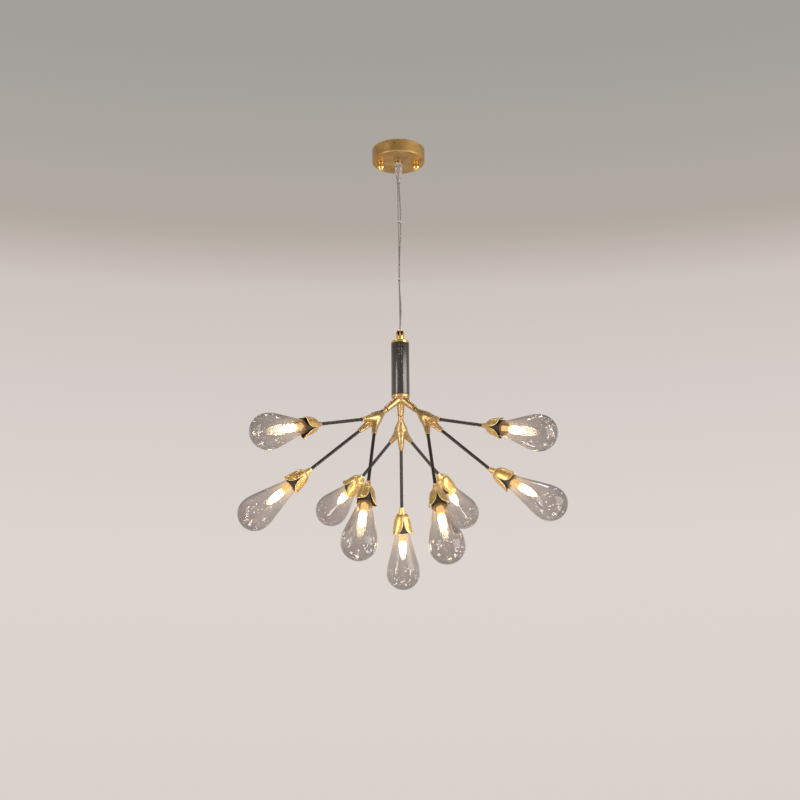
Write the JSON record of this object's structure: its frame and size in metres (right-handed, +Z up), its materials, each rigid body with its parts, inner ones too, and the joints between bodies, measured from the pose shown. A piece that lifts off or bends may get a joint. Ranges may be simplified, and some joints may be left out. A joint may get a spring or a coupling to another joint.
{
  "type": "chandelier",
  "caption": "Branching chandelier: ceiling canopy, wire and cord, dark tube, cast forks on a hub, and smoked glass teardrops in flower-shaped cups at the ends of slender rods.",
  "frame": {"origin": "centre of the canopy's rim on the ceiling plane, midway between the bracket's two slots", "axes": "+Z up out of the ceiling face, +X to the right along the bracket, +Y away from the viewer"},
  "size_m": [0.5795, 0.5562, 0.8263],
  "materials": {
    "brushed_gold": "brushed round the drum and straight across its floor",
    "polished_gold": "polished",
    "petal_gold": "hammered, with bright edges",
    "cast_brass": "satin, cast",
    "plated_steel": "zinc plated",
    "wire_steel": "stranded, dull",
    "chrome": "polished",
    "black_tube": "satin, bronze black",
    "black_rod": "satin, brown black",
    "clear_plastic": "clear, moulded",
    "clear_cord": "clear sheath over pale cores",
    "clip_plastic": "smooth",
    "white_plastic": "smooth",
    "dark_ceramic": "matt, dark",
    "lamp_glass": "frosted, lit warm white",
    "smoked_glass": "smoked, clear, with seeds and streaks"
  },
  "bodies": {
    "ceiling_mount": {"canopy": "brushed_gold", "ceiling_bracket": "plated_steel", "cord_grip": "clear_plastic", "grip_nuts": "chrome", "canopy_wire": "wire_steel", "canopy_cord": "clear_cord", "terminal_block": "white_plastic"},
    "screw_left": {"canopy_screw_left": "polished_gold"},
    "screw_right": {"canopy_screw_right": "polished_gold"},
    "drop": {"suspension_wire": "wire_steel", "power_cord": "clear_cord", "cord_clips": "clip_plastic", "hanging_yoke": "polished_gold", "yoke_nut": "plated_steel"},
    "stem": {"tube_cap": "polished_gold", "body_tube": "black_tube", "splice_connector": "white_plastic", "hub": "cast_brass"},
    "fork_left": {"fork_left": "cast_brass", "rods_left": "black_rod", "flower_cup_left_upper": "petal_gold", "lamp_holder_left_upper": "dark_ceramic", "flower_cup_left_lower": "petal_gold", "lamp_holder_left_lower": "dark_ceramic", "flower_cup_left_front": "petal_gold", "lamp_holder_left_front": "dark_ceramic"},
    "glass_left_upper": {"glass_left_upper": "smoked_glass"},
    "lamp_left_upper": {"lamp_left_upper": "lamp_glass"},
    "glass_left_lower": {"glass_left_lower": "smoked_glass"},
    "lamp_left_lower": {"lamp_left_lower": "lamp_glass"},
    "glass_left_front": {"glass_left_front": "smoked_glass"},
    "lamp_left_front": {"lamp_left_front": "lamp_glass"},
    "fork_right": {"fork_right": "cast_brass", "rods_right": "black_rod", "flower_cup_right_upper": "petal_gold", "lamp_holder_right_upper": "dark_ceramic", "flower_cup_right_lower": "petal_gold", "lamp_holder_right_lower": "dark_ceramic", "flower_cup_right_front": "petal_gold", "lamp_holder_right_front": "dark_ceramic"},
    "glass_right_upper": {"glass_right_upper": "smoked_glass"},
    "lamp_right_upper": {"lamp_right_upper": "lamp_glass"},
    "glass_right_lower": {"glass_right_lower": "smoked_glass"},
    "lamp_right_lower": {"lamp_right_lower": "lamp_glass"},
    "glass_right_front": {"glass_right_front": "smoked_glass"},
    "lamp_right_front": {"lamp_right_front": "lamp_glass"},
    "fork_back": {"fork_back": "cast_brass", "rods_back": "black_rod", "flower_cup_back_left": "petal_gold", "lamp_holder_back_left": "dark_ceramic", "flower_cup_back_right": "petal_gold", "lamp_holder_back_right": "dark_ceramic", "flower_cup_back_low": "petal_gold", "lamp_holder_back_low": "dark_ceramic"},
    "glass_back_left": {"glass_back_left": "smoked_glass"},
    "lamp_back_left": {"lamp_back_left": "lamp_glass"},
    "glass_back_right": {"glass_back_right": "smoked_glass"},
    "lamp_back_right": {"lamp_back_right": "lamp_glass"},
    "glass_back_low": {"glass_back_low": "smoked_glass"},
    "lamp_back_low": {"lamp_back_low": "lamp_glass"}
  },
  "joints": [
    {"name": "canopy_screw_left_turn", "type": "hinge", "parent": "ceiling_mount", "child": "screw_left", "pos_m": [-0.0335, 0, 0], "axis": [0, 0, -1], "continuous": true},
    {"name": "canopy_screw_right_turn", "type": "hinge", "parent": "ceiling_mount", "child": "screw_right", "pos_m": [0.0335, 0, 0], "axis": [0, 0, -1], "continuous": true},
    {"name": "drop_sway", "type": "hinge", "parent": "ceiling_mount", "child": "drop", "pos_m": [0, 0, -0.06885], "axis": [0, 1, 0], "range_deg": [-10, 10]},
    {"name": "stem_swivel", "type": "hinge", "parent": "drop", "child": "stem", "pos_m": [0, 0, -0.3895], "axis": [0, 0, 1], "range_deg": [-170, 170]},
    {"name": "fork_left_turn", "type": "hinge", "parent": "stem", "child": "fork_left", "pos_m": [0, 0, -0.4944], "axis": [-0.6436, -0.3716, -0.6691], "range_deg": [-30, 30]},
    {"name": "glass_left_upper_draw", "type": "slide", "parent": "fork_left", "child": "glass_left_upper", "axis": [-0.6484, -0.7002, -0.299], "range_m": [0, 0.07]},
    {"name": "lamp_left_upper_plug", "type": "slide", "parent": "fork_left", "child": "lamp_left_upper", "axis": [-0.6484, -0.7002, -0.299], "range_m": [0, 0.009]},
    {"name": "glass_left_lower_draw", "type": "slide", "parent": "fork_left", "child": "glass_left_lower", "axis": [-0.7789, 0.0272, -0.6266], "range_m": [0, 0.07]},
    {"name": "lamp_left_lower_plug", "type": "slide", "parent": "fork_left", "child": "lamp_left_lower", "axis": [-0.7789, 0.0272, -0.6266], "range_m": [0, 0.009]},
    {"name": "glass_left_front_draw", "type": "slide", "parent": "fork_left", "child": "glass_left_front", "axis": [-0.1196, -0.377, -0.9184], "range_m": [0, 0.07]},
    {"name": "lamp_left_front_plug", "type": "slide", "parent": "fork_left", "child": "lamp_left_front", "axis": [-0.1196, -0.377, -0.9184], "range_m": [0, 0.009]},
    {"name": "fork_right_turn", "type": "hinge", "parent": "stem", "child": "fork_right", "pos_m": [0, 0, -0.4944], "axis": [0.6436, -0.3716, -0.6691], "range_deg": [-30, 30]},
    {"name": "glass_right_upper_draw", "type": "slide", "parent": "fork_right", "child": "glass_right_upper", "axis": [0.6922, -0.6569, -0.299], "range_m": [0, 0.07]},
    {"name": "lamp_right_upper_plug", "type": "slide", "parent": "fork_right", "child": "lamp_right_upper", "axis": [0.6922, -0.6569, -0.299], "range_m": [0, 0.009]},
    {"name": "glass_right_lower_draw", "type": "slide", "parent": "fork_right", "child": "glass_right_lower", "axis": [0.8049, -0.2142, -0.5534], "range_m": [0, 0.07]},
    {"name": "lamp_right_lower_plug", "type": "slide", "parent": "fork_right", "child": "lamp_right_lower", "axis": [0.8049, -0.2142, -0.5534], "range_m": [0, 0.009]},
    {"name": "glass_right_front_draw", "type": "slide", "parent": "fork_right", "child": "glass_right_front", "axis": [0.139, -0.3548, -0.9245], "range_m": [0, 0.07]},
    {"name": "lamp_right_front_plug", "type": "slide", "parent": "fork_right", "child": "lamp_right_front", "axis": [0.139, -0.3548, -0.9245], "range_m": [0, 0.009]},
    {"name": "fork_back_turn", "type": "hinge", "parent": "stem", "child": "fork_back", "pos_m": [0, 0, -0.4944], "axis": [0, 0.7431, -0.6691], "range_deg": [-30, 30]},
    {"name": "glass_back_left_draw", "type": "slide", "parent": "fork_back", "child": "glass_back_left", "axis": [-0.5115, 0.7847, -0.3502], "range_m": [0, 0.07]},
    {"name": "lamp_back_left_plug", "type": "slide", "parent": "fork_back", "child": "lamp_back_left", "axis": [-0.5115, 0.7847, -0.3502], "range_m": [0, 0.009]},
    {"name": "glass_back_right_draw", "type": "slide", "parent": "fork_back", "child": "glass_back_right", "axis": [0.4055, 0.8063, -0.4305], "range_m": [0, 0.07]},
    {"name": "lamp_back_right_plug", "type": "slide", "parent": "fork_back", "child": "lamp_back_right", "axis": [0.4055, 0.8063, -0.4305], "range_m": [0, 0.009]},
    {"name": "glass_back_low_draw", "type": "slide", "parent": "fork_back", "child": "glass_back_low", "axis": [0.0146, 0.4413, -0.8973], "range_m": [0, 0.07]},
    {"name": "lamp_back_low_plug", "type": "slide", "parent": "fork_back", "child": "lamp_back_low", "axis": [0.0146, 0.4413, -0.8973], "range_m": [0, 0.009]}
  ]
}
